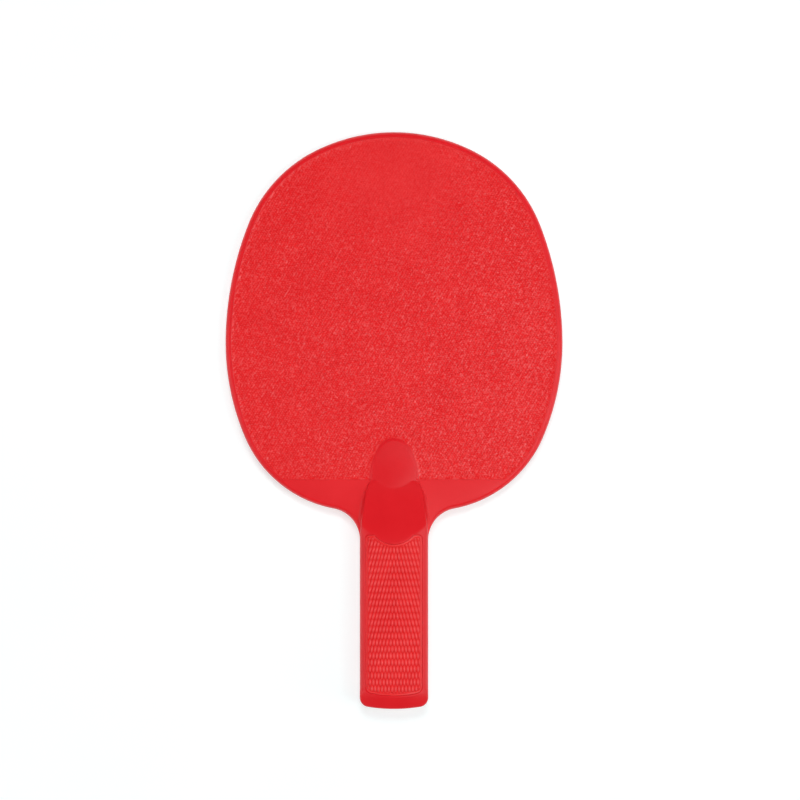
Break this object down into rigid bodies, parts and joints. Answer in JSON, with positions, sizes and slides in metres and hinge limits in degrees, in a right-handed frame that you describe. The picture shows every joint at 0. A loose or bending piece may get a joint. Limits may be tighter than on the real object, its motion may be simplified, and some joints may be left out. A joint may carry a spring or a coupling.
{
  "type": "table tennis paddle",
  "caption": "Table tennis paddle: a thin pebbled blade with a smooth rounded rim, a sloping neck and a crowned handle with textured grip panels.",
  "frame": {"origin": "on the ground plane of a paddle lying flat, under the middle of its outline", "axes": "+Y from the handle to the tip of the blade, +X across the blade, +Z out of the front face"},
  "size_m": [0.1522, 0.26, 0.024],
  "materials": {
    "smooth_plastic": "smooth satin moulding",
    "pebbled_plastic": "fine leather-like pebble",
    "handle_plastic": "smooth satin moulding",
    "grip_plastic": "staggered raised grains",
    "screw_steel": "zinc plated",
    "dowel_steel": "ground"
  },
  "bodies": {
    "root": {"blade_plate": "smooth_plastic", "front_face_skin": "pebbled_plastic", "rear_face_skin": "pebbled_plastic", "front_handle_scale": "handle_plastic", "rear_handle_scale": "handle_plastic", "front_grip_insert": "grip_plastic", "rear_grip_insert": "grip_plastic", "scale_screws": "screw_steel", "tang_dowels": "dowel_steel"}
  },
  "joints": []
}
